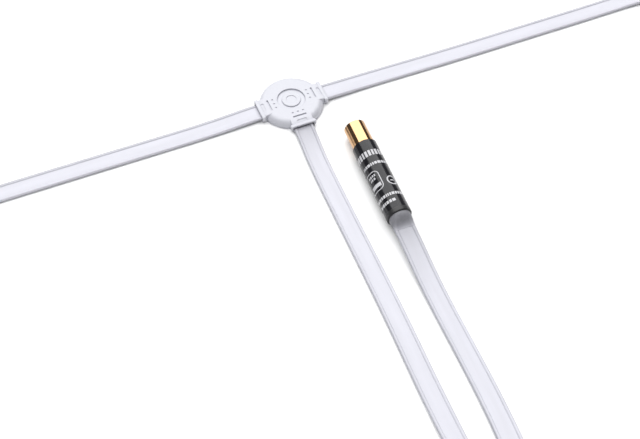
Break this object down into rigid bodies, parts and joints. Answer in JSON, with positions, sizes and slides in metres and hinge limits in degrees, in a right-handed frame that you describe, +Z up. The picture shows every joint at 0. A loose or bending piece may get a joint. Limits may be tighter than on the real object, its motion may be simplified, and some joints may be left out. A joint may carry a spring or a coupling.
{
  "type": "fm indoor antenna",
  "caption": "Flat-ribbon indoor FM dipole antenna with a round white junction housing and a gold coaxial coupling in a black sleeve.",
  "frame": {"origin": "centre of the junction housing's flat underside, on the table", "axes": "+Z up from the table, X along the two arms with the right arm towards +X, the feeder leaves along -Y"},
  "size_m": [0.5358, 0.296, 0.0135],
  "materials": {
    "housing": "fine satin moulded",
    "ribbon": "satin extruded vinyl",
    "copper": "bright drawn copper",
    "splice_metal": "tinned",
    "solder": "dull solder",
    "tie": "milky nylon",
    "end_cap": "smooth shrunk sleeve",
    "gold_metal": "polished gold plate",
    "insulator": "plain moulded",
    "sleeve": "glossy black",
    "grommet": "soft satin",
    "board": "solder resist",
    "ferrite": "fired, dull",
    "magnet_wire": "enamelled copper",
    "chip": "fired"
  },
  "bodies": {
    "root": {"junction_cover": "housing", "junction_base": "housing", "left_arm_wires": "copper", "right_arm_wires": "copper", "feeder_wires": "copper", "through_splice": "splice_metal", "left_solder_joint": "solder", "right_solder_joint": "solder", "left_arm_ribbon": "ribbon", "right_arm_ribbon": "ribbon", "feeder_ribbon": "ribbon", "plug_lead_ribbon": "ribbon", "left_arm_coil": "ribbon", "right_arm_coil": "ribbon", "feeder_coil": "ribbon", "left_arm_tie": "tie", "right_arm_tie": "tie", "feeder_tie": "tie", "left_end_cap": "end_cap", "right_end_cap": "end_cap", "left_end_link": "copper", "right_end_link": "copper", "plug_outer_contact": "gold_metal", "plug_centre_contact": "gold_metal", "plug_insulator": "insulator", "plug_sleeve": "sleeve", "sleeve_end_ring": "sleeve", "cord_grommet": "grommet", "balun_board": "board", "balun_core": "ferrite", "primary_winding": "magnet_wire", "secondary_winding": "magnet_wire", "blocking_capacitor": "chip", "plug_lead_wires": "copper"}
  },
  "joints": []
}
